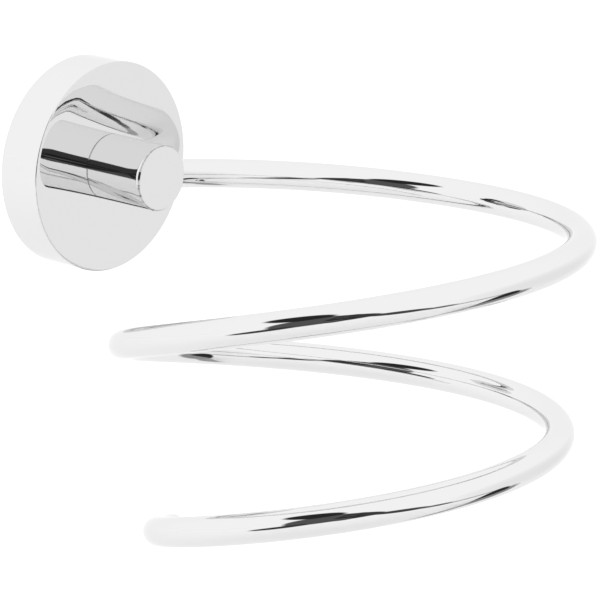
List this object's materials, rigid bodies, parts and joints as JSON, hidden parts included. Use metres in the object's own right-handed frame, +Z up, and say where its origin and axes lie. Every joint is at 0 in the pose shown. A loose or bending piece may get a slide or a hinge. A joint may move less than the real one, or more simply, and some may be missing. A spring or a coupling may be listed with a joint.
{
  "type": "hair dryer holder",
  "caption": "Wall-mounted hair dryer holder: a chromed rod wound into an open coil, carried by a round post on a round wall rose.",
  "frame": {"origin": "centre of the rose's back on the wall, which is the middle of the two wall screw holes", "axes": "+Z up, -Y away from the wall into the room, +X to the right for someone facing the wall"},
  "size_m": [0.1143, 0.1368, 0.1087],
  "materials": {
    "chrome": "bright chrome plate",
    "zinc_plate": "dull zinc plate",
    "raw_brass": "as machined",
    "screw_steel": "zinc plated",
    "black_steel": "black oxide"
  },
  "bodies": {
    "root": {"wall_plate": "zinc_plate", "rose": "chrome", "backing_ring": "raw_brass", "rose_screw": "black_steel", "post": "chrome", "index_pin": "screw_steel", "flat_washer": "screw_steel", "spring_washer": "screw_steel", "tie_screw": "screw_steel", "rod_screw": "black_steel", "rod": "chrome"}
  },
  "joints": []
}
